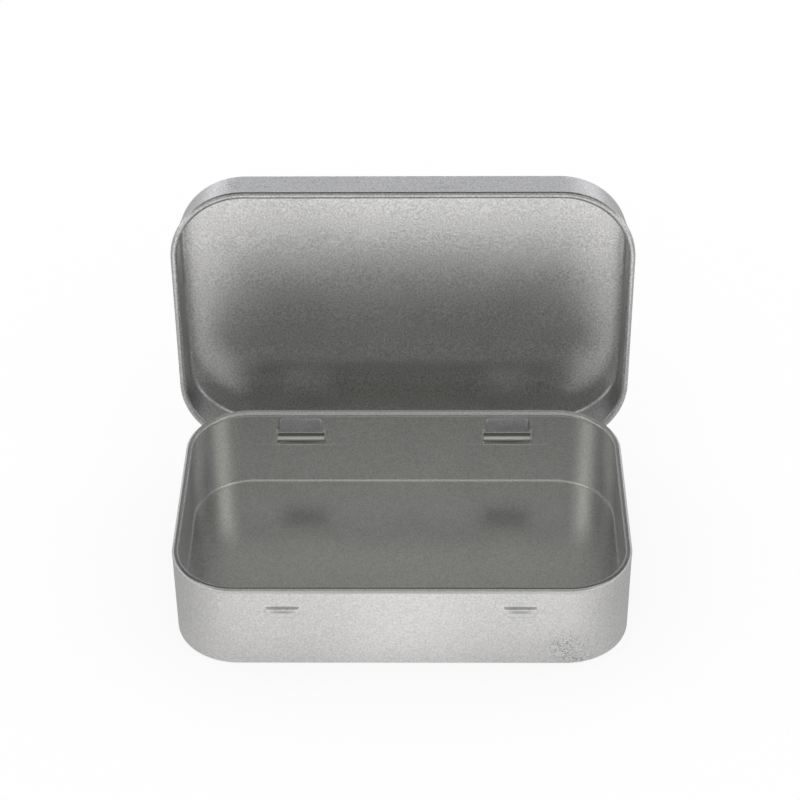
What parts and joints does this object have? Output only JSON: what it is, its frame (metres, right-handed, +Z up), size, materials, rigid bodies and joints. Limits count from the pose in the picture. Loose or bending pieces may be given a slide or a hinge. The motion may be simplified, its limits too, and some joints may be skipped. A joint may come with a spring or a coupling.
{
  "type": "mint tin",
  "caption": "Shallow rectangular tinplate tin, standing open: rounded tray and slightly tapered lid, both with curled rims, a tongue-and-slot hinge along the back and snap bumps on the front.",
  "frame": {"origin": "centre of the base's flat underside", "axes": "+Z up, +Y to the back where the hinge is, +X along the long side to the right seen from the front"},
  "size_m": [0.0952, 0.0709, 0.0716],
  "materials": {
    "base_tinplate": "satin, bare tinplate with fine grain",
    "lid_tinplate": "satin, bare tinplate with fine grain"
  },
  "bodies": {
    "base": {"base": "base_tinplate"},
    "lid": {"lid": "lid_tinplate"}
  },
  "joints": [
    {"name": "lid_hinge", "type": "hinge", "parent": "base", "child": "lid", "pos_m": [0, 0.02941, 0.0106], "axis": [1, 0, 0], "range_deg": [0, 92.6]}
  ]
}
